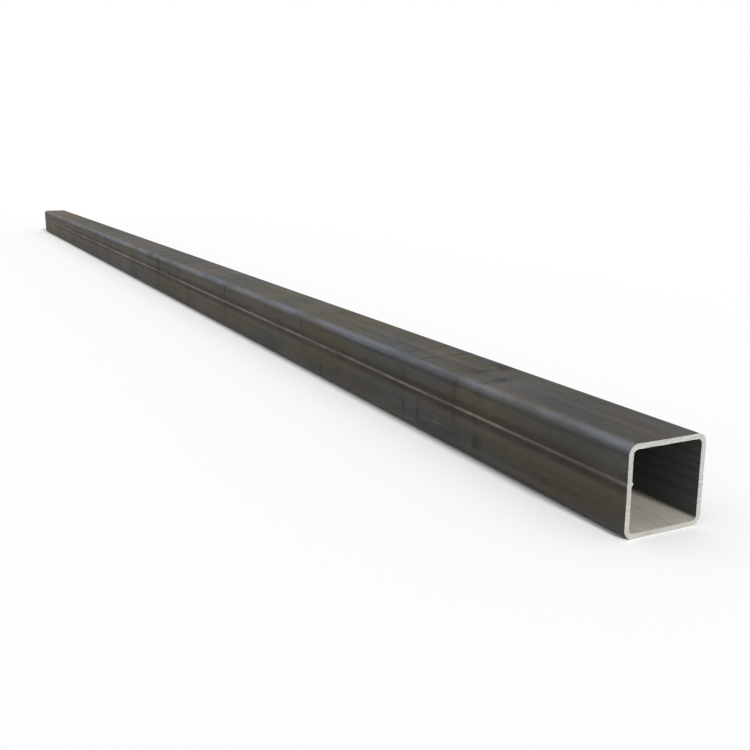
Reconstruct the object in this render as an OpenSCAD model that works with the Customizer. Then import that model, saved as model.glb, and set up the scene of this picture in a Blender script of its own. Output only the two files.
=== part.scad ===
// Square steel tube: strip folded to a square section and welded lengthwise, sawn to stock length.
// The tube lies along X on its lower face, Z = 0, with the origin under the middle of its length.
// Its weld seam runs along the wall that faces -Y.

/* [Section] */
// Outside width and height of the square section
side = 140; // [100:5:200]
// Thickness of the wall
wall = 8; // [5:0.5:10]
// Outside radius of the four folded corners
corner_radius = 16; // [11:0.5:24]

/* [Stock] */
// Length between the two sawn ends
length = 6000; // [1000:100:12000]

/* [Weld seam] */
// Height of the seam above the middle of its wall
seam_offset = 12; // [-25:1:25]
// Width of the bead that the weld leaves on the inside face
bead_width = 7; // [3:0.5:10]
// Height of that bead above the inside face
bead_height = 2; // [0.5:0.25:3]

/* [Hidden] */

// Sides of each full circle
$fn = 64;
// Inside faces stand one wall in from the outside ones
bore_side = side - 2 * wall;
// Inside and outside corners share their centres, so the wall keeps its thickness round the fold
bore_radius = corner_radius - wall;
// The bead's round back passes through its crown and its two edges on the inside face
bead_radius = (pow(bead_width / 2, 2) + pow(bead_height, 2)) / (2 * bead_height);
// How far the centre of that round lies outside the inside face
bead_sink = bead_radius - bead_height;

// A square about the origin, with all four corners rounded to one radius
module rounded_square(width, radius) {
    straight = width - 2 * radius;
    square([width, straight], center = true);
    square([straight, width], center = true);
    for (x = [-1, 1], y = [-1, 1])
        translate([x, y] * straight / 2)
            circle(r = radius);
}

// The round that the weld leaves on the inside face, in the plane of the section
module weld_bead() {
    translate([-bore_side / 2 - bead_sink, seam_offset])
        circle(r = bead_radius);
}

// The opening through the tube: a smaller rounded square that the bead stands into
module bore() {
    difference() {
        rounded_square(bore_side, bore_radius);
        weld_bead();
    }
}

// The wall seen at a sawn end, X across the tube and Y up
module section() {
    difference() {
        rounded_square(side, corner_radius);
        bore();
    }
}

// The whole tube, the section carried along X from one sawn end to the other
module square_tube() {
    color("#4b4844")
        translate([0, 0, side / 2])
            rotate([90, 0, 90])
                linear_extrude(length, center = true)
                    section();
}

square_tube();
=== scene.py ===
"""Looks of one square steel tube: a length of welded hollow section in its mill finish.

The tube lies along X with its lower face on the floor. The end towards +X is the near one, and the
weld seam runs along the wall that faces -Y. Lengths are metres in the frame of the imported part, and
the sizes of patterns are written in millimetres.
"""

import logging
import math
from dataclasses import dataclass, fields, replace
from enum import IntEnum

import bpy
import numpy as np
from mathutils import Euler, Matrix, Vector


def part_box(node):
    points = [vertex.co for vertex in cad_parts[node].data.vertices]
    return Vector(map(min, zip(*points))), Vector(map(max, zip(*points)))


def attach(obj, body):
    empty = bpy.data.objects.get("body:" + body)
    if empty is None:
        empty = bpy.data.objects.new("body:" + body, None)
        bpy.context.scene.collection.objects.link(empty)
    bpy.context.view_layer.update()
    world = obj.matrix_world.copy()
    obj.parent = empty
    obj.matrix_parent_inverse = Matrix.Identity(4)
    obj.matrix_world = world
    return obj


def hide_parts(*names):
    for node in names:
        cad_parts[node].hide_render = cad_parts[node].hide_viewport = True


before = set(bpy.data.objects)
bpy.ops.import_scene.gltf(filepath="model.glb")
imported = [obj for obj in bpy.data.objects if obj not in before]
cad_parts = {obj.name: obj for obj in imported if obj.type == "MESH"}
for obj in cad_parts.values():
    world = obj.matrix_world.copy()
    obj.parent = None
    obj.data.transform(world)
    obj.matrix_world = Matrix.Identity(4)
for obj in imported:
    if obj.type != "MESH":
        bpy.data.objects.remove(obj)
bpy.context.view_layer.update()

MM = 0.001
LOG = logging.getLogger("square_tube")
TUBE_NODE = "square_tube"
TUBE_PIECE = "welded_square_tube"
TUBE_BODY = "root"
# The map that the finishes are baked through goes by this name
BAKE_MAP = "OFBake"
# Attribute that says how much each point is worn by handling and gets a painted highlight, most halfway
# round a corner
RUBBED_AND_LIT = "rubbed_and_lit"
WHITE = (1.0, 1.0, 1.0, 1.0)
# The value about which a noise swings
NOISE_MIDDLE = 0.5

Socket = bpy.types.NodeSocket
Tree = bpy.types.NodeTree
Colour = tuple[float, float, float, float]


class Zone(IntEnum):
    """Surfaces of the tube, in the order of its material slots."""

    OUTSIDE = 0
    SAWN_END = 1
    BORE = 2


class Wall(IntEnum):
    """Walls of the tube, in their order round its section."""

    SEAM = 0
    TOP = 1
    PLAIN = 2
    UNDERSIDE = 3


def linear(hex_colour: str) -> Colour:
    """Turns an sRGB colour into the linear one that a shader takes.

    The curve is a straight line near black and a power of 2.4 above it.

    Args:
        hex_colour: The colour as "#rrggbb".

    Returns:
        Linear red, green, blue and an alpha of 1.
    """
    coded = np.array([int(hex_colour[i : i + 2], 16) for i in (1, 3, 5)]) / 255
    light = np.where(coded <= 0.04045, coded / 12.92, ((coded + 0.055) / 1.055) ** 2.4)
    return (*light.tolist(), 1.0)


def add_node(tree: Tree, kind: str, inputs: dict | None = None, **settings: str) -> bpy.types.Node:
    """Adds one node with its settings and links.

    Args:
        tree: The tree that gets the node.
        kind: The node's type, such as "ShaderNodeMath".
        inputs: For each socket, by name or number, the socket that feeds it or its own value.
        **settings: The node's other properties.

    Returns:
        The new node.
    """
    node = tree.nodes.new(kind)
    for name, value in settings.items():
        setattr(node, name, value)
    for name, value in (inputs or {}).items():
        if isinstance(value, Socket):
            tree.links.new(value, node.inputs[name])
        else:
            node.inputs[name].default_value = value
    return node


def seen(tree: Tree) -> Socket:
    """Tells rays that show a surface, straight or by way of another, from rays that only light others.

    Args:
        tree: The tree of a material or world.

    Returns:
        1 for the rays that show it, or 0.
    """
    path = add_node(tree, "ShaderNodeLightPath").outputs
    shows = path["Is Camera Ray"]
    for ray in ("Is Glossy Ray", "Is Transmission Ray"):
        either = add_node(tree, "ShaderNodeMath", {0: shows, 1: path[ray]}, operation="MAXIMUM")
        shows = either.outputs[0]
    return shows


@dataclass(frozen=True)
class Cloud:
    """A noise whose patches have a real size.

    Attributes:
        along_mm: Length of a patch along the tube.
        across_mm: Its width round the tube.
        rise_mm: Its height, where that isn't its width.
        detail: How many finer layers lie on it.
        roughness: How strong each finer layer is beside the one before.
        start: Where in the noise it starts, so that two clouds of one size differ.
        slope: How far it leans about the tube's line.
    """

    along_mm: float
    across_mm: float
    rise_mm: float = 0.0
    detail: float = 2.0
    roughness: float = 0.5
    start: float = 0.0
    slope: float = 0.0


@dataclass(frozen=True)
class Coat:
    """A colour that is laid over others.

    Attributes:
        colour: Its hex value.
        cover: How much of what lies below it hides at most.
    """

    colour: str
    cover: float = 1.0


@dataclass(frozen=True)
class Ease:
    """How much of something shows over a range of a measure, such as a noise or a distance.

    Attributes:
        none: The measure at which it shows least, before which it stays so.
        full: The measure at which it shows most, past which it stays so.
        least: How much then shows at least.
        most: How much shows at most.
    """

    none: float
    full: float
    least: float = 0.0
    most: float = 1.0

    def past(self, start: float) -> "Ease":
        """Moves the range along, so that it is measured from a place."""
        return replace(self, none=start + self.none, full=start + self.full)


@dataclass(frozen=True)
class Mask:
    """A measure that is eased over a range, which says how much of a coat shows.

    Attributes:
        measure: What is measured, such as a noise or a height.
        ease: The range, and how much shows over it.
    """

    measure: Socket
    ease: Ease


class Painter:
    """Lays coats of colour over each other in one material's tree.

    Attributes:
        material: The material.
        tree: Its nodes.
        shader: Its Principled shader.
        place: Object coordinates, in metres.
        x: The first of them, along the tube.
        y: The second, across it.
        z: The third, up.
        coat: The colour so far.
    """

    def __init__(self, name: str, base: Coat) -> None:
        """Starts a material with a lone Principled shader.

        Args:
            name: The material's name.
            base: The coat below all others.
        """
        self.material = bpy.data.materials.new(name)
        self.material.use_nodes = True
        self.tree = self.material.node_tree
        self.shader = self.tree.nodes["Principled BSDF"]
        self.place = add_node(self.tree, "ShaderNodeTexCoord").outputs["Object"]
        self.x, self.y, self.z = add_node(self.tree, "ShaderNodeSeparateXYZ", {0: self.place}).outputs
        self.coat: Socket | Colour = linear(base.colour)

    def pattern(self, cloud: Cloud) -> Socket:
        """Draws a cloud over the object.

        Args:
            cloud: The noise and the size of its patches.

        Returns:
            The noise, from 0 to 1 and mostly near 0.5.
        """
        sockets = {
            "Vector": self.place,
            "Location": (cloud.start, cloud.start, cloud.start),
            "Rotation": (cloud.slope, 0.0, 0.0),
            "Scale": Vector((cloud.along_mm, cloud.across_mm, cloud.rise_mm or cloud.across_mm)) * MM,
        }
        scaled = add_node(self.tree, "ShaderNodeMapping", sockets, vector_type="TEXTURE")
        sockets = {
            "Vector": scaled.outputs["Vector"],
            "Scale": 1.0,
            "Detail": cloud.detail,
            "Roughness": cloud.roughness,
        }
        return add_node(self.tree, "ShaderNodeTexNoise", sockets).outputs["Fac"]

    def off_height(self, height: float) -> Socket:
        """Measures how far above or below a height each point lies.

        Args:
            height: The height above the floor.

        Returns:
            The distance, which is never negative.
        """
        above = add_node(self.tree, "ShaderNodeMath", {0: self.z, 1: height}, operation="SUBTRACT")
        off = add_node(self.tree, "ShaderNodeMath", {0: above.outputs[0]}, operation="ABSOLUTE")
        return off.outputs[0]

    def share(self, *masks: Mask | Socket | float) -> Socket:
        """Multiplies masks, so that only what lies in all of them is left.

        Args:
            *masks: Masks, which are eased first, and shares that are taken as they are.

        Returns:
            The product.
        """
        product = None
        for mask in masks:
            if isinstance(mask, Mask):
                sockets = {
                    "Value": mask.measure,
                    "From Min": mask.ease.none,
                    "From Max": mask.ease.full,
                    "To Min": mask.ease.least,
                    "To Max": mask.ease.most,
                }
                eased = add_node(
                    self.tree, "ShaderNodeMapRange", sockets, interpolation_type="SMOOTHSTEP"
                )
                mask = eased.outputs["Result"]
            if product is None:
                product = mask
            else:
                both = add_node(self.tree, "ShaderNodeMath", {0: product, 1: mask}, operation="MULTIPLY")
                product = both.outputs[0]
        return product

    def lay(self, coat: Coat, *masks: Mask | Socket) -> Socket:
        """Lays a coat over those so far.

        Args:
            coat: Its colour and how well it covers.
            *masks: What else says how much of it shows, multiplied.

        Returns:
            How much of it shows.
        """
        share = self.share(*masks, coat.cover) if coat.cover < 1 else self.share(*masks)
        # Sockets 6 and 7 and output 2 are the node's colours
        sockets = {0: share, 6: self.coat, 7: linear(coat.colour)}
        self.coat = add_node(self.tree, "ShaderNodeMix", sockets, data_type="RGBA").outputs[2]
        return share

    def shade(self, *masks: Mask) -> None:
        """Makes the coats so far lighter or darker, by the product of masks that lie about 1."""
        sockets = {"Color": self.coat, "Value": self.share(*masks)}
        self.coat = add_node(self.tree, "ShaderNodeHueSaturation", sockets).outputs["Color"]

    def feed(self, **sockets: Socket | Colour | float) -> None:
        """Sets the shader's sockets.

        Args:
            **sockets: For each socket, the socket that feeds it or its own value. Spaces in the names
                are written as underscores.
        """
        for name, value in sockets.items():
            socket = self.shader.inputs[name.replace("_", " ")]
            if isinstance(value, Socket):
                self.tree.links.new(value, socket)
            else:
                socket.default_value = value

    def finish(self, relief: Socket, depth_mm: float) -> bpy.types.Material:
        """Feeds the coats and a fine relief to the shader.

        Args:
            relief: Heights that bend the shader's normals.
            depth_mm: How deep a height of 1 is.

        Returns:
            The finished material.
        """
        bump = add_node(self.tree, "ShaderNodeBump", {"Height": relief, "Distance": depth_mm * MM})
        self.feed(Base_Color=self.coat, Normal=bump.outputs["Normal"])
        return self.material


@dataclass(frozen=True)
class MillScale:
    """Rolled steel under its dark oxide.

    It gives the eye a dull grey with olive and blue casts, fine streaks from the rolls, dark bands
    across the faces, paler corners that are partly wear from handling and partly a painted highlight,
    and a rust bloom at one end. The oxide hides most of the metal's shine. A field that ends in "on" is
    the range of a pattern over which a coat comes on, and one that ends in "shade" says how much darker
    and lighter a pattern makes the tone.

    Attributes:
        seam_height: Height of the weld seam above the floor.
        seam_wall: Where the wall that holds the seam has its outside face, along Y.
        far_end: Where the far sawn end is, along X.
        bloom_reach: How far the rust bloom reaches from there.
        wall_reach: How far in from the seam wall's outside face the weld's colours reach.
        rim_reach: How far from the seam the rim of the weld's heat reaches.
        heat_reach: How far its dark band reaches.
        line_reach: How far the pale scarfed line reaches.
        fray: How far the roll marks carry the edges of those three to and fro.
        roughness: Roughness of the scale, over the roll marks.
        dulling: How much rougher the dark bands and rust are.
        polish: How much smoother the scarfed line is.
        metallic: Share of a metal's shine, from no rust to all rust.
        specular: Strength of the plain reflection, of which a clean surface has 0.5.
        relief_mm: Depth of roll marks and flecks.
        cool: Tone of the scale.
        warm: Its olive tone, in patches.
        smudge: Paler smudges.
        rust_line: Thin rusty lines.
        cross_band: Dark runs.
        scuff: Bright scuffs.
        worn_and_highlight: Paler corners, partly wear from handling and partly a painted highlight.
        heat_rim: Rim of the weld's heat.
        heat: Its dark band.
        seam: The scarfed line.
        bloom: Rust bloom.
        rust: Rust specks.
        roll_marks: Fine streaks along the tube.
        flecks: Small spots of thinner and thicker scale.
        streaks: Broader streaks along the tube.
        belts: Slow changes along the tube, alike all round it.
        casts: Patches of the two tones.
        smears: Smudged patches.
        threads: Where the thin rusty lines lie.
        scratches: Where the scuffs lie.
        runs: Bands across the faces, narrow along the tube.
        run_groups: Stretches of the tube where the runs come in groups.
        run_breaks: Gaps in the runs.
        chatter: Marks that the scarfing tool leaves along the seam.
        blooms: Patches of the rust bloom.
        specks: Where the rust specks lie.
    """

    seam_height: float
    seam_wall: float
    far_end: float
    bloom_reach: Ease = Ease(1.3, 0.0)
    wall_reach: Ease = Ease(5 * MM, 2 * MM)
    rim_reach: Ease = Ease(44 * MM, 26 * MM)
    heat_reach: Ease = Ease(22 * MM, 10 * MM)
    line_reach: Ease = Ease(3.8 * MM, 1.8 * MM)
    fray: float = 6 * MM
    roughness: Ease = Ease(0.25, 0.75, 0.6, 0.76)
    dulling: float = 0.22
    polish: float = 0.1
    metallic: Ease = Ease(0.0, 1.0, 0.2, 0.1)
    specular: float = 0.05
    relief_mm: float = 0.05
    cool: Coat = Coat("#454849")
    warm: Coat = Coat("#524d43")
    smudge: Coat = Coat("#5d5e62", 0.35)
    rust_line: Coat = Coat("#594a3b", 0.4)
    cross_band: Coat = Coat("#282321", 0.5)
    scuff: Coat = Coat("#86888d", 0.35)
    worn_and_highlight: Coat = Coat("#83878f")
    heat_rim: Coat = Coat("#5c5549", 0.4)
    heat: Coat = Coat("#312c28", 0.7)
    seam: Coat = Coat("#8d857b", 0.8)
    bloom: Coat = Coat("#85725f", 0.7)
    rust: Coat = Coat("#73553e", 0.5)
    # Roll marks, flecks, threads and scratches are finer on the real tube, and drawn this wide to show
    roll_marks: Cloud = Cloud(800, 2.6, detail=3, roughness=0.6, start=3)
    flecks: Cloud = Cloud(8, 3, detail=3, roughness=0.7, start=19)
    streaks: Cloud = Cloud(1800, 14, start=7)
    belts: Cloud = Cloud(240, 3000, detail=3, start=41)
    casts: Cloud = Cloud(420, 70, detail=3)
    smears: Cloud = Cloud(170, 55, detail=5, roughness=0.6, start=11)
    threads: Cloud = Cloud(1500, 3.4, start=47)
    scratches: Cloud = Cloud(130, 1.8, start=43)
    runs: Cloud = Cloud(42, 240, detail=3, roughness=0.6, start=23)
    run_groups: Cloud = Cloud(700, 4000, detail=1, start=29)
    run_breaks: Cloud = Cloud(34, 26, detail=4, start=61)
    chatter: Cloud = Cloud(30, 2, detail=3, start=59)
    blooms: Cloud = Cloud(380, 80, detail=5, roughness=0.55, start=31)
    specks: Cloud = Cloud(20, 8, detail=5, roughness=0.7, start=37)
    mark_shade: Ease = Ease(0.25, 0.75, 0.84, 1.16)
    streak_shade: Ease = Ease(0.3, 0.7, 0.86, 1.14)
    fleck_shade: Ease = Ease(0.3, 0.7, 0.9, 1.1)
    belt_shade: Ease = Ease(0.35, 0.65, 0.86, 1.08)
    smear_shade: Ease = Ease(0.65, 0.35, 0.92, 1.1)
    warm_on: Ease = Ease(0.32, 0.6)
    smudge_on: Ease = Ease(0.52, 0.72)
    rust_line_on: Ease = Ease(0.6, 0.7)
    run_on: Ease = Ease(0.53, 0.72)
    group_on: Ease = Ease(0.45, 0.58)
    unbroken_on: Ease = Ease(0.36, 0.56)
    scuff_on: Ease = Ease(0.64, 0.74)
    scuff_smear_on: Ease = Ease(0.4, 0.6)
    worn_and_highlight_on: Ease = Ease(0.3, 0.7, 0.3, 0.7)
    worn_and_highlight_smear_on: Ease = Ease(0.38, 0.6, 0.55, 1.15)
    heat_smear_on: Ease = Ease(0.65, 0.35, 0.45, 1.0)
    chatter_on: Ease = Ease(0.3, 0.7, 0.55, 1.0)
    line_belt_on: Ease = Ease(0.35, 0.6, 0.4, 1.0)
    bloom_on: Ease = Ease(0.3, 0.75)
    rust_on: Ease = Ease(0.63, 0.74)

    def material(self) -> bpy.types.Material:
        """Builds the material.

        Returns:
            The finished material.
        """
        painter = Painter("mill_scale_on_rolled_steel", self.cool)
        tree = painter.tree
        marks, flecks = painter.pattern(self.roll_marks), painter.pattern(self.flecks)
        streaks, smears = painter.pattern(self.streaks), painter.pattern(self.smears)
        belts = painter.pattern(self.belts)
        painter.lay(self.warm, Mask(painter.pattern(self.casts), self.warm_on))
        painter.shade(
            Mask(marks, self.mark_shade),
            Mask(streaks, self.streak_shade),
            Mask(flecks, self.fleck_shade),
            Mask(belts, self.belt_shade),
            Mask(smears, self.smear_shade),
        )
        painter.lay(self.smudge, Mask(smears, self.smudge_on))
        painter.lay(self.rust_line, Mask(painter.pattern(self.threads), self.rust_line_on))
        banded = self.cross_bands(painter)
        painter.lay(self.cross_band, banded)
        scratched = Mask(painter.pattern(self.scratches), self.scuff_on)
        painter.lay(self.scuff, scratched, Mask(smears, self.scuff_smear_on))
        rubbed_and_lit = add_node(tree, "ShaderNodeAttribute", attribute_name=RUBBED_AND_LIT).outputs["Fac"]
        # Paler corners: wear from handling, and a painted highlight where the rounded corner would catch
        # light from above
        painter.lay(self.worn_and_highlight, rubbed_and_lit, Mask(marks, self.worn_and_highlight_on), Mask(smears, self.worn_and_highlight_smear_on))
        line = self.weld(painter, marks, smears, belts)
        rusted = self.rusting(painter)
        dull = add_node(tree, "ShaderNodeMath", {0: banded, 1: rusted}, operation="MAXIMUM").outputs[0]
        rough = painter.share(Mask(marks, self.roughness))
        for place, more in ((dull, self.dulling), (line, -self.polish)):
            sockets = {0: place, 1: more, 2: rough}
            rough = add_node(tree, "ShaderNodeMath", sockets, operation="MULTIPLY_ADD").outputs[0]
        relief = add_node(tree, "ShaderNodeMath", {0: marks, 1: flecks}, operation="ADD").outputs[0]
        metallic = painter.share(Mask(rusted, self.metallic))
        painter.feed(Roughness=rough, Metallic=metallic, Specular_IOR_Level=self.specular)
        return painter.finish(relief, self.relief_mm)

    def cross_bands(self, painter: Painter) -> Socket:
        """Finds the dark bands, which lie where runs and their groups meet, outside the breaks.

        Args:
            painter: The material's painter.

        Returns:
            Where the dark bands lie.
        """
        return painter.share(
            Mask(painter.pattern(self.runs), self.run_on),
            Mask(painter.pattern(self.run_groups), self.group_on),
            Mask(painter.pattern(self.run_breaks), self.unbroken_on),
        )

    def weld(self, painter: Painter, marks: Socket, smears: Socket, belts: Socket) -> Socket:
        """Lays the seam: a scarfed pale line between two bands that the weld's heat darkened.

        Args:
            painter: The material's painter.
            marks: Fine streaks, which fray the bands.
            smears: Smudged patches, where the bands are fainter.
            belts: Slow changes along the tube, by which the line comes and goes.

        Returns:
            Where the pale line lies.
        """
        tree = painter.tree
        on_wall = Mask(painter.y, self.wall_reach.past(self.seam_wall))
        swing = add_node(tree, "ShaderNodeMath", {0: marks, 1: NOISE_MIDDLE}, operation="SUBTRACT")
        sockets = {0: swing.outputs[0], 1: self.fray, 2: painter.off_height(self.seam_height)}
        away = add_node(tree, "ShaderNodeMath", sockets, operation="MULTIPLY_ADD").outputs[0]
        painter.lay(self.heat_rim, on_wall, Mask(away, self.rim_reach))
        painter.lay(self.heat, on_wall, Mask(away, self.heat_reach), Mask(smears, self.heat_smear_on))
        line = painter.share(
            on_wall,
            Mask(away, self.line_reach),
            Mask(painter.pattern(self.chatter), self.chatter_on),
            Mask(belts, self.line_belt_on),
        )
        painter.lay(self.seam, line)
        return line

    def rusting(self, painter: Painter) -> Socket:
        """Lays a rust bloom that thickens towards the far end, and light specks all over.

        Args:
            painter: The material's painter.

        Returns:
            How rusted each place is.
        """
        towards_end = Mask(painter.x, self.bloom_reach.past(self.far_end))
        bloom = painter.lay(self.bloom, Mask(painter.pattern(self.blooms), self.bloom_on), towards_end)
        specks = painter.lay(self.rust, Mask(painter.pattern(self.specks), self.rust_on))
        both = add_node(painter.tree, "ShaderNodeMath", {0: bloom, 1: specks}, operation="MAXIMUM")
        return both.outputs[0]


@dataclass(frozen=True)
class SawnSteel:
    """A fresh band-saw cut: bare pale steel with fine parallel tooth marks and a trace of tarnish.

    Attributes:
        roughness: Roughness of the cut, over the tooth marks.
        metallic: Share of a metal's shine.
        relief_mm: Depth of the tooth marks.
        grey: Tone in the tooth marks.
        bright: Tone between them.
        tarnish: Tone of the tarnish.
        marks: Tooth marks, which lean as the blade does in its guides.
        dulling: Patches of tarnish.
        bright_on: Range of the tooth marks over which the bright tone comes on.
        tarnish_on: Range of the patches over which the tarnish comes on.
    """

    roughness: Ease = Ease(0.3, 0.7, 0.42, 0.58)
    metallic: float = 0.5
    relief_mm: float = 0.06
    grey: Coat = Coat("#9f9d97")
    bright: Coat = Coat("#bebcb6")
    tarnish: Coat = Coat("#8f8778", 0.35)
    # Real marks are about 1 mm apart, and drawn wider so that they show
    marks: Cloud = Cloud(1000, 400, 1.7, slope=math.radians(9))
    dulling: Cloud = Cloud(40, 22, detail=5, roughness=0.6, start=5)
    bright_on: Ease = Ease(0.3, 0.65)
    tarnish_on: Ease = Ease(0.5, 0.75)

    def material(self) -> bpy.types.Material:
        """Builds the material.

        Returns:
            The finished material.
        """
        painter = Painter("band_sawn_steel", self.grey)
        marks = painter.pattern(self.marks)
        painter.lay(self.bright, Mask(marks, self.bright_on))
        painter.lay(self.tarnish, Mask(painter.pattern(self.dulling), self.tarnish_on))
        painter.feed(Roughness=painter.share(Mask(marks, self.roughness)), Metallic=self.metallic)
        return painter.finish(marks, self.relief_mm)


@dataclass(frozen=True)
class BoreScale:
    """Inside of the tube: scale darkened by painted shade, its lower wall paled by dust and painted
    light.

    Attributes:
        floor_height: Height of the lower inside face above the floor.
        seam_height: Height of the weld seam above the floor.
        seam_face: Where the inside face that holds the weld bead is, along Y.
        dust_and_painted_light_reach: How high above the lower face the pale film reaches.
        bead_reach: How far from the seam's inside face the weld's heat reaches.
        heat_reach: How far it reaches to either side of the bead.
        roughness: Roughness of the scale, over the streaks.
        metallic: Share of a metal's shine.
        relief_mm: Depth of streaks and grit.
        dark: Tone of the scale, darkened as painted shade inside the bore.
        light: Its paler tone, in streaks, darkened alike as painted shade.
        dust_and_painted_light: Tone of the pale film on the lower face, partly dust and partly painted
            light.
        rust: Tone of the light rust.
        heat: Tone of the weld's heat.
        streaks: Streaks along the tube.
        patches: Patches of light rust.
        grit: Grains in the pale film.
        light_on: Range of the streaks over which the paler tone comes on.
        dust_and_painted_light_streak_on: Range of the streaks over which the pale film thickens.
        dust_and_painted_light_grit_on: Range of the grains over which it does.
        rust_on: Range of the patches over which the rust comes on.
    """

    floor_height: float
    seam_height: float
    seam_face: float
    dust_and_painted_light_reach: Ease = Ease(7 * MM, 1 * MM)
    bead_reach: Ease = Ease(6 * MM, 3 * MM)
    heat_reach: Ease = Ease(14 * MM, 4 * MM)
    roughness: Ease = Ease(0.25, 0.75, 0.6, 0.75)
    metallic: float = 0.1
    relief_mm: float = 0.06
    # Both tones of the scale are kept dark as painted shade inside the bore
    dark: Coat = Coat("#373d3c")
    light: Coat = Coat("#4a504e")
    dust_and_painted_light: Coat = Coat("#bcb6a8")
    rust: Coat = Coat("#7d6650", 0.25)
    heat: Coat = Coat("#33343a", 0.8)
    streaks: Cloud = Cloud(600, 5, detail=3, roughness=0.6, start=2)
    patches: Cloud = Cloud(160, 40, detail=4, start=13)
    # Real grit is under 1 mm, and drawn coarser so that it shows
    grit: Cloud = Cloud(6, 5, detail=4, roughness=0.7, start=17)
    light_on: Ease = Ease(0.3, 0.7)
    dust_and_painted_light_streak_on: Ease = Ease(0.2, 0.7, 0.8, 1.0)
    dust_and_painted_light_grit_on: Ease = Ease(0.3, 0.6, 0.8, 1.0)
    rust_on: Ease = Ease(0.5, 0.75)

    def material(self) -> bpy.types.Material:
        """Builds the material.

        Returns:
            The finished material.
        """
        # The base and streak tones carry painted shade of the bore
        painter = Painter("dull_scale_inside_tube", self.dark)
        streaks, grit = painter.pattern(self.streaks), painter.pattern(self.grit)
        painter.lay(self.light, Mask(streaks, self.light_on))
        # Paler lower face: partly dust, partly painted light where light falls on it inside the bore
        low = Mask(painter.z, self.dust_and_painted_light_reach.past(self.floor_height))
        painter.lay(self.dust_and_painted_light, low, Mask(streaks, self.dust_and_painted_light_streak_on), Mask(grit, self.dust_and_painted_light_grit_on))
        painter.lay(self.rust, Mask(painter.pattern(self.patches), self.rust_on))
        by_bead = Mask(painter.y, self.bead_reach.past(self.seam_face))
        painter.lay(self.heat, by_bead, Mask(painter.off_height(self.seam_height), self.heat_reach))
        relief = add_node(painter.tree, "ShaderNodeMath", {0: streaks, 1: grit}, operation="ADD")
        painter.feed(Roughness=painter.share(Mask(streaks, self.roughness)), Metallic=self.metallic)
        return painter.finish(relief.outputs[0], self.relief_mm)


@dataclass(frozen=True)
class MattFloor:
    """A pale matt floor that fades into white away from the tube.

    Attributes:
        half_length: Half the length of the tube, whose line the fade is measured from.
        fade: Distances from there over which the floor turns white.
        pale: Its tone by the tube.
    """

    half_length: float
    fade: Ease = Ease(0.2, 2.2)
    pale: Coat = Coat("#f4f4f2")

    def material(self) -> bpy.types.Material:
        """Builds the material.

        Returns:
            The finished material.
        """
        painter = Painter("pale_matt_floor", self.pale)
        painter.feed(Base_Color=painter.coat, Roughness=1.0, Specular_IOR_Level=0.0)
        tree = painter.tree
        sockets = {"Value": painter.x, "Min": -self.half_length, "Max": self.half_length}
        beside = add_node(tree, "ShaderNodeClamp", sockets).outputs["Result"]
        nearest = add_node(tree, "ShaderNodeCombineXYZ", {"X": beside}).outputs["Vector"]
        ends = {0: painter.place, 1: nearest}
        away = add_node(tree, "ShaderNodeVectorMath", ends, operation="DISTANCE").outputs["Value"]
        white_share = painter.share(Mask(away, self.fade), seen(tree))
        white = add_node(tree, "ShaderNodeEmission", {"Color": WHITE, "Strength": 1.0})
        shaders = {0: white_share, 1: painter.shader.outputs[0], 2: white.outputs[0]}
        mixed = add_node(tree, "ShaderNodeMixShader", shaders)
        tree.links.new(mixed.outputs[0], tree.nodes["Material Output"].inputs["Surface"])
        return painter.material


@dataclass
class Columns:
    """Places round the tube's section, one for each column of the grid.

    Attributes:
        core: Points of the square that the corner arcs are struck from, as Y and Z about its middle.
        normal: Outward direction at each, as Y and Z.
        along: Distance along the wall from its middle, on the flats.
        flat: 1 on the flats and 0 on the arcs.
        rubbed_and_lit: 0 on the flats and most halfway round an arc, where handling wears the scale and
            a painted highlight lies.
        wall: Which Wall the column is on, or leads on from.
    """

    core: np.ndarray
    normal: np.ndarray
    along: np.ndarray
    flat: np.ndarray
    rubbed_and_lit: np.ndarray
    wall: np.ndarray


@dataclass
class Rows:
    """Stations on the loop along the outside, in at the far end, back through the bore and out.

    Attributes:
        x: Place along the tube.
        share: How far through the wall, 0 at the outside and 1 at the bore.
    """

    x: np.ndarray
    share: np.ndarray


@dataclass(frozen=True)
class Waves:
    """Sine waves of random phase that add up to an uneven line.

    Attributes:
        shortest: Length of the shortest wave.
        longest: Length of the longest.
        count: How many there are, each longer than the one before by the same ratio.
        swing: How far the line mostly swings to either side of 0.
    """

    shortest: float
    longest: float
    count: int
    swing: float

    def line(self, where: np.ndarray, repeat: float, rng: np.random.Generator) -> np.ndarray:
        """Adds up the waves, each stretched to fit a whole number of times into a length.

        The sum of the sines is divided by the square root of twice their count, which gives it a
        standard deviation of one half, and then multiplied by the swing.

        Args:
            where: Places along the length.
            repeat: The length, after which the line repeats.
            rng: Gives the phases.

        Returns:
            The line at each place.
        """
        turns = np.round(repeat / np.geomspace(self.shortest, self.longest, self.count))
        phase = rng.uniform(0, 2 * math.pi, self.count)
        angle = 2 * math.pi * where[..., None] * turns / repeat + phase
        return self.swing * np.sin(angle).sum(-1) / math.sqrt(2 * self.count)


@dataclass(frozen=True)
class Strips:
    """Strips of the map that the unrolled tube is baked through, as shares of the map's side.

    Attributes:
        outside: Width of the strip that holds the outside.
        bore: Width of the one that holds the bore.
        cut: Width of each of the two that hold a cut.
        space: Free space between strips.
        margin: Free space round them all.
    """

    outside: float = 0.56
    bore: float = 0.355
    cut: float = 0.025
    space: float = 0.01
    margin: float = 0.004


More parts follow.
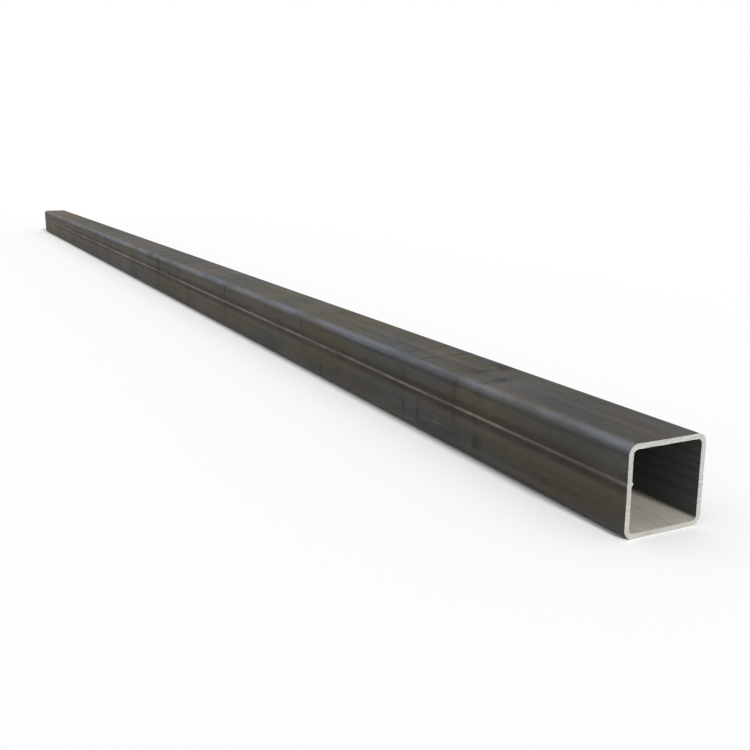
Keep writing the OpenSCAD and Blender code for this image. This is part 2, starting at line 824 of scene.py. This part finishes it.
@dataclass
class SquareTube:
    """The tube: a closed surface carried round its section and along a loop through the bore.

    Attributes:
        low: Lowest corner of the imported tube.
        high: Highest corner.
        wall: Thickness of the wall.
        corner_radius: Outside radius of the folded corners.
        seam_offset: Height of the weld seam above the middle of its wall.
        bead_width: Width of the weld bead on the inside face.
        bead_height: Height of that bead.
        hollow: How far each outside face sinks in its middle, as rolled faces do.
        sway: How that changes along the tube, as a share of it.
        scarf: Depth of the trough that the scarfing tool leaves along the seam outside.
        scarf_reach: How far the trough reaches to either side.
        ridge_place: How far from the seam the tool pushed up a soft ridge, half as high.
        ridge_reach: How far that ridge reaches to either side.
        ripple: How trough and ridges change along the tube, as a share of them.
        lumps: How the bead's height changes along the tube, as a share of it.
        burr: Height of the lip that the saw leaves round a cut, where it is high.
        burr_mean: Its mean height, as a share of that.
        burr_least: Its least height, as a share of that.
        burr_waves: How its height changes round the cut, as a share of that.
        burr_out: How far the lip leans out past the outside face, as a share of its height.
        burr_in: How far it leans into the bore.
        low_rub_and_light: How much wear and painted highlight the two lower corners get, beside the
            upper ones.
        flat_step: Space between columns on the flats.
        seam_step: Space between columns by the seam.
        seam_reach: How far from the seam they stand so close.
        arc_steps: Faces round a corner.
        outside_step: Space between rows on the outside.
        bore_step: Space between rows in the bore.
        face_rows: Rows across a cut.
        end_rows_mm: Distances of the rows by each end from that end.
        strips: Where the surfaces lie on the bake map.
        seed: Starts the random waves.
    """

    low: Vector
    high: Vector
    wall: float = 8 * MM
    corner_radius: float = 16 * MM
    seam_offset: float = 12 * MM
    bead_width: float = 7 * MM
    bead_height: float = 2 * MM
    hollow: float = 0.3 * MM
    sway: Waves = Waves(0.5, 2.4, 5, 0.4)
    scarf: float = 0.2 * MM
    scarf_reach: float = 3 * MM
    ridge_place: float = 5 * MM
    ridge_reach: float = 1.3 * MM
    ripple: Waves = Waves(0.12, 0.9, 9, 0.5)
    lumps: Waves = Waves(0.2, 1.1, 7, 0.16)
    burr: float = 0.55 * MM
    burr_mean: float = 0.35
    burr_least: float = 0.05
    burr_waves: Waves = Waves(5 * MM, 60 * MM, 24, 0.65)
    burr_out: float = 0.35
    burr_in: float = 0.45
    low_rub_and_light: float = 0.35
    flat_step: float = 2 * MM
    seam_step: float = 0.7 * MM
    seam_reach: float = 9 * MM
    arc_steps: int = 14
    outside_step: float = 42 * MM
    bore_step: float = 80 * MM
    face_rows: int = 7
    end_rows_mm: tuple[float, ...] = (0, 0.4, 1, 2, 4, 8, 14, 24)
    strips: Strips = Strips()
    seed: int = 7

    def __post_init__(self) -> None:
        """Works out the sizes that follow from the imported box."""
        self.length = self.high.x - self.low.x
        self.side = self.high.z - self.low.z
        self.half_core = self.side / 2 - self.corner_radius
        self.rng = np.random.default_rng(self.seed)

    @property
    def seam_height(self) -> float:
        """Height of the weld seam above the floor."""
        return self.low.z + self.side / 2 + self.seam_offset

    def columns(self) -> Columns:
        """Lays out the columns: along each wall's flat, then round the arc that leads to the next wall.

        A flat's core point is half the core's side along the wall's normal, plus its place along the
        wall, which runs from minus to plus that half. An arc keeps the last core point, and its normal
        turns from this wall's to the next one's.

        Returns:
            The columns, in order round the tube.
        """
        half = self.half_core
        even = np.linspace(-half, half, round(2 * half / self.flat_step) + 1)
        near_seam = np.abs(even - self.seam_offset) <= self.seam_reach
        dense = np.arange(-self.seam_reach, self.seam_reach + self.seam_step, self.seam_step)
        with_seam = np.sort(np.concatenate([even[~near_seam], self.seam_offset + dense]))
        turn = np.linspace(0, math.pi / 2, self.arc_steps + 1)[1:-1]
        walls = []
        for wall in Wall:
            angle = math.pi - wall * math.pi / 2
            outward = np.array([math.cos(angle), math.sin(angle)])
            onward = np.array([math.sin(angle), -math.cos(angle)])
            flat = with_seam if wall == Wall.SEAM else even
            reach = np.concatenate([flat, np.full(turn.shape, half)])
            bend = np.concatenate([np.zeros(flat.shape), turn])
            # The corners that follow these two walls are the upper ones, with the full wear and painted
            # highlight
            rub_and_light = 1.0 if wall in (Wall.SEAM, Wall.TOP) else self.low_rub_and_light
            walls.append(
                Columns(
                    core=half * outward + reach[:, None] * onward,
                    normal=np.cos(bend)[:, None] * outward + np.sin(bend)[:, None] * onward,
                    along=reach,
                    flat=(bend == 0).astype(float),
                    rubbed_and_lit=np.sin(2 * bend) * rub_and_light,
                    wall=np.full(reach.shape, int(wall)),
                )
            )
        joined = {
            field.name: np.concatenate([getattr(part, field.name) for part in walls])
            for field in fields(Columns)
        }
        return Columns(**joined)

    def stations(self, step: float) -> np.ndarray:
        """Lays out places along the tube, close together by the sawn ends and evenly between.

        Args:
            step: Space between them, away from the ends.

        Returns:
            X from the near end to the far one.
        """
        by_end = np.array(self.end_rows_mm) * MM
        half = self.length / 2
        between = np.linspace(half - by_end[-1], by_end[-1] - half, round(self.length / step))
        return np.concatenate([half - by_end, between[1:-1], (by_end - half)[::-1]])

    def rows(self) -> Rows:
        """Lays out the rows of the loop, where those on a cut crowd towards its two edges.

        Returns:
            The rows, in order round the loop.
        """
        outside, bore = self.stations(self.outside_step), self.stations(self.bore_step)[::-1]
        through = (1 - np.cos(np.linspace(0, math.pi, self.face_rows + 2)[1:-1])) / 2
        half = np.full(through.shape, self.length / 2)
        share = [np.zeros(outside.shape), through, np.ones(bore.shape), through[::-1]]
        return Rows(x=np.concatenate([outside, -half, bore, half]), share=np.concatenate(share))

    def offsets(self, columns: Columns, rows: Rows) -> np.ndarray:
        """Works out how far each point stands off the core square along its normal.

        It goes from the corner radius outside to the bore radius inside. The outside faces sink in the
        middle by a parabola, the scarfed seam is a shallow bell curve between two soft ridges, and the
        weld bead is an arc of a circle that stands into the bore.

        Args:
            columns: Places round the section.
            rows: Stations of the loop.

        Returns:
            The offsets, one row of the array for each row of the loop.
        """
        offset = self.corner_radius - self.wall * rows.share[:, None] + np.zeros((1, len(columns.along)))
        outside, inside = (rows.share == 0)[:, None], (rows.share == 1)[:, None]
        waves = (self.sway, self.ripple, self.lumps)
        sway, ripple, lumps = (1 + each.line(rows.x, self.length, self.rng)[:, None] for each in waves)
        dished = self.hollow * columns.flat * (1 - (columns.along / self.half_core) ** 2)
        offset = offset - outside * dished * sway
        # Columns of the other walls count as a whole side away from the seam
        on_seam_wall = (columns.wall == Wall.SEAM) & (columns.flat > 0)
        from_seam = np.where(on_seam_wall, columns.along - self.seam_offset, self.side)
        trough = np.exp(-((from_seam / self.scarf_reach) ** 2))
        ridges = np.exp(-(((np.abs(from_seam) - self.ridge_place) / self.ridge_reach) ** 2))
        offset = offset + outside * self.scarf * ripple * (ridges / 2 - trough)
        radius = (self.bead_width**2 / 4 + self.bead_height**2) / (2 * self.bead_height)
        arc = np.sqrt(np.clip(radius**2 - from_seam**2, 0, None)) - (radius - self.bead_height)
        return offset - inside * np.clip(arc, 0, None) * lumps

    def surface(self, columns: Columns, rows: Rows) -> np.ndarray:
        """Works out the grid of points, with a ragged lip where the saw left each cut.

        A point is its core point plus its normal times its offset, at its row's place along the tube.

        Args:
            columns: Places round the section.
            rows: Stations of the loop.

        Returns:
            X, Y and Z for each row and column.
        """
        offset = self.offsets(columns, rows)
        x = np.repeat(rows.x[:, None], len(columns.along), axis=1)
        run = self.run(columns)
        for end in (self.length / 2, -self.length / 2):
            for share, outward in ((0, self.burr_out), (1, -self.burr_in)):
                edge = (rows.x == end) & (rows.share == share)
                rough = self.burr_mean + self.burr_waves.line(run[:-1], run[-1], self.rng)
                lip = self.burr * np.maximum(rough, self.burr_least)
                x[edge] += math.copysign(1, end) * lip
                offset[edge] += outward * lip
        yz = columns.core + columns.normal * offset[..., None]
        # The lip stays above the floor that the tube lies on
        z = np.maximum(yz[..., 1] + self.low.z + self.side / 2, self.low.z)
        return np.stack([x, yz[..., 0], z], -1)

    def run(self, columns: Columns) -> np.ndarray:
        """Measures the way round the outside of the section.

        Args:
            columns: Places round the section.

        Returns:
            Distance from the first column to each, and at last to the first again.
        """
        rim = columns.core + columns.normal * self.corner_radius
        steps = np.linalg.norm(np.roll(rim, -1, axis=0) - rim, axis=1)
        return np.concatenate([[0.0], np.cumsum(steps)])

    def zones(self, rows: Rows) -> np.ndarray:
        """Says which surface each band of faces between two rows belongs to.

        Args:
            rows: Stations of the loop.

        Returns:
            A Zone for each band.
        """
        after = np.roll(rows.share, -1)
        zones = np.full(rows.share.shape, int(Zone.SAWN_END))
        zones[(rows.share == 0) & (after == 0)] = Zone.OUTSIDE
        zones[(rows.share == 1) & (after == 1)] = Zone.BORE
        return zones

    def bake_map(self, columns: Columns, rows: Rows, zones: np.ndarray) -> np.ndarray:
        """Lays the unrolled outside, bore and cuts as four strips that fill a square map.

        Outside and bore lie lengthwise, and each cut is a narrow strip.

        Args:
            columns: Places round the section.
            rows: Stations of the loop.
            zones: The Zone of each band.

        Returns:
            U and V for each corner of each face.
        """
        run = self.run(columns)
        run = run / run[-1]
        down = (self.length / 2 - rows.x) / self.length
        band = np.arange(len(zones))
        after = (band + 1) % len(zones)
        ends = np.stack([band, band, after, after], -1)
        shape = (len(zones), len(columns.along), 4)
        lengthwise = np.broadcast_to(down[ends][:, None], shape)
        through = np.broadcast_to(rows.share[ends][:, None], shape)
        around = np.broadcast_to(np.stack([run[:-1], run[1:], run[1:], run[:-1]], -1), shape)
        strips = self.strips
        bore_low = strips.outside + strips.space
        near_low = bore_low + strips.bore + strips.space
        far_low = near_low + strips.cut + strips.space
        cut_low = np.where(rows.x > 0, near_low, far_low)[:, None, None]
        laid = {
            Zone.OUTSIDE: np.stack([lengthwise, strips.outside * around], -1),
            Zone.SAWN_END: np.stack([around, cut_low + strips.cut * through], -1),
            Zone.BORE: np.stack([lengthwise, bore_low + strips.bore * around], -1),
        }
        uv = np.stack([laid[zone] for zone in Zone])[zones, band]
        return strips.margin + (1 - 2 * strips.margin) * uv

    def build(self) -> bpy.types.Object:
        """Makes the mesh object.

        Returns:
            The tube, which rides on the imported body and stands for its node.
        """
        columns, rows = self.columns(), self.rows()
        width = len(columns.along)
        points = self.surface(columns, rows)
        number = np.arange(points.size // 3).reshape(points.shape[:2])
        after, beside = np.roll(number, -1, axis=0), np.roll(number, -1, axis=1)
        faces = np.stack([number, beside, np.roll(after, -1, axis=1), after], -1).reshape(-1, 4)
        mesh = bpy.data.meshes.new(TUBE_PIECE)
        mesh.from_pydata(points.reshape(-1, 3), [], faces)
        zones = self.zones(rows)
        mesh.polygons.foreach_set("material_index", np.repeat(zones, width).astype(np.int32))
        mesh.polygons.foreach_set("use_smooth", np.ones(len(faces), bool))
        rubbed_and_lit = mesh.attributes.new(RUBBED_AND_LIT, "FLOAT", "POINT")
        rubbed_and_lit.data.foreach_set("value", np.tile(columns.rubbed_and_lit, len(rows.x)).astype(np.float32))
        layer = mesh.uv_layers.new(name=BAKE_MAP)
        layer.uv.foreach_set("vector", self.bake_map(columns, rows, zones).astype(np.float32).ravel())
        mesh.validate()
        self.sharpen(mesh, zones, width)
        self.dress(mesh)
        tube = bpy.data.objects.new(TUBE_PIECE, mesh)
        bpy.context.scene.collection.objects.link(tube)
        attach(tube, TUBE_BODY)
        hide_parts(TUBE_NODE)
        return tube

    def sharpen(self, mesh: bpy.types.Mesh, zones: np.ndarray, width: int) -> None:
        """Makes the edges round each cut sharp: those that lie along a row where the zone changes.

        Args:
            mesh: The tube's mesh.
            zones: The Zone of each band.
            width: Points in a row.
        """
        rims = zones != np.roll(zones, 1)
        ends = np.empty(2 * len(mesh.edges), np.int32)
        mesh.edges.foreach_get("vertices", ends)
        first, second = (ends.reshape(-1, 2) // width).T
        mesh.edges.foreach_set("use_edge_sharp", (first == second) & rims[first])

    def dress(self, mesh: bpy.types.Mesh) -> None:
        """Gives the mesh its three finishes, in the order of Zone.

        Args:
            mesh: The tube's mesh.
        """
        finishes = {
            Zone.OUTSIDE: MillScale(self.seam_height, self.low.y, self.low.x),
            Zone.SAWN_END: SawnSteel(),
            Zone.BORE: BoreScale(self.low.z + self.wall, self.seam_height, self.low.y + self.wall),
        }
        for zone in Zone:
            mesh.materials.append(finishes[zone].material())


def heading(bearing: float, height: float) -> Vector:
    """Gives a direction from the near end of the tube.

    Args:
        bearing: How far round from +X, towards +Y.
        height: How far above level.

    Returns:
        The direction, of length 1.
    """
    level = math.cos(height)
    return Vector((level * math.cos(bearing), level * math.sin(bearing), math.sin(height)))


def looking_from(bearing: float, height: float) -> Euler:
    """Turns a camera or lamp so that it looks back along a direction from the near end."""
    return heading(bearing, height).to_track_quat("Z", "Y").to_euler()


@dataclass(frozen=True)
class Lamp:
    """A broad lamp so far off that it lights the whole tube alike.

    Attributes:
        name: The lamp's name.
        bearing: How far round it stands from the tube's line at the near end, towards +Y.
        height: How high it stands above level.
        spread: How wide it looks from the tube.
        strength: Its light on a surface that faces it.
        colour: Its tint.
    """

    name: str
    bearing: float
    height: float
    spread: float
    strength: float
    colour: str = "#ffffff"

    def hang(self) -> None:
        """Puts the lamp into the scene."""
        data = bpy.data.lights.new(self.name, "SUN")
        data.energy, data.angle = self.strength, self.spread
        data.color = linear(self.colour)[:3]
        lamp = bpy.data.objects.new(self.name, data)
        lamp.rotation_euler = looking_from(self.bearing, self.height)
        bpy.context.scene.collection.objects.link(lamp)


@dataclass
class Studio:
    """The floor, the light and the camera.

    Attributes:
        near_end: Middle of the tube's near cut.
        bearing: How far round the camera stands from the tube's line, towards +Y.
        height: How far it looks down on the near cut.
        distance: Its distance from that cut.
        aim_bearing: Which way it points, as the bearing of the direction behind it.
        aim_height: How far it points down.
        focal: Its focal length, in pixels.
        picture: Side of the picture, in pixels.
        sensor_mm: Width of its sensor.
        nearest: Distance from which it sees things.
        farthest: Distance up to which it does.
        floor_reach: How far the floor reaches.
        sky: Strength of the light from all round.
        lamps: The lamps.
    """

    near_end: Vector
    bearing: float = math.radians(-44)
    height: float = math.radians(19)
    distance: float = 1.4
    aim_bearing: float = math.radians(-26.0)
    aim_height: float = math.radians(13.2)
    focal: float = 945.0
    picture: float = 750.0
    sensor_mm: float = 36.0
    nearest: float = 0.02
    farthest: float = 100.0
    floor_reach: float = 40.0
    sky: float = 0.4
    lamps: tuple[Lamp, ...] = (
        Lamp("key", math.radians(2), math.radians(31), math.radians(5), 2.8),
        Lamp("overhead", 0.0, math.radians(90), math.radians(100), 0.8, "#eef3ff"),
    )

    def camera(self) -> None:
        """Sets the camera up in front of the near end, with both ends in the picture."""
        data = bpy.data.cameras.new("camera")
        data.sensor_width = self.sensor_mm
        data.lens = self.sensor_mm * self.focal / self.picture
        data.clip_start, data.clip_end = self.nearest, self.farthest
        camera = bpy.data.objects.new("camera", data)
        camera.location = self.near_end + self.distance * heading(self.bearing, self.height)
        camera.rotation_euler = looking_from(self.aim_bearing, self.aim_height)
        bpy.context.scene.collection.objects.link(camera)
        bpy.context.scene.camera = camera

    def world(self) -> None:
        """Surrounds the scene with soft light, white where the camera or a shine sees it."""
        world = bpy.data.worlds.new("studio")
        bpy.context.scene.world = world
        world.use_nodes = True
        sky = world.node_tree.nodes["Background"].inputs
        strength = {"Value": seen(world.node_tree), "To Min": self.sky, "To Max": 1.0}
        shown = add_node(world.node_tree, "ShaderNodeMapRange", strength)
        world.node_tree.links.new(shown.outputs["Result"], sky["Strength"])
        sky["Color"].default_value = WHITE

    def floor(self) -> None:
        """Lays the floor, a square that isn't part of the tube."""
        corners = np.array([[-1, -1, 0], [1, -1, 0], [1, 1, 0], [-1, 1, 0]]) * self.floor_reach
        mesh = bpy.data.meshes.new("floor")
        mesh.from_pydata(corners, [], [(0, 1, 2, 3)])
        mesh.materials.append(MattFloor(self.near_end.x).material())
        floor = bpy.data.objects.new("floor", mesh)
        bpy.context.scene.collection.objects.link(floor)

    def build(self) -> None:
        """Sets up the floor, the light and the camera."""
        self.floor()
        for lamp in self.lamps:
            lamp.hang()
        self.world()
        self.camera()
        bpy.context.scene.view_settings.view_transform = "Standard"


def main() -> None:
    """Builds the tube and the studio round it."""
    logging.basicConfig(level=logging.INFO, format="%(name)s: %(message)s")
    low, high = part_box(TUBE_NODE)
    tube = SquareTube(low, high).build()
    LOG.info("%s has %d faces", tube.name, len(tube.data.polygons))
    Studio(Vector((high.x, 0, (low.z + high.z) / 2))).build()


if __name__ == "__main__":
    main()
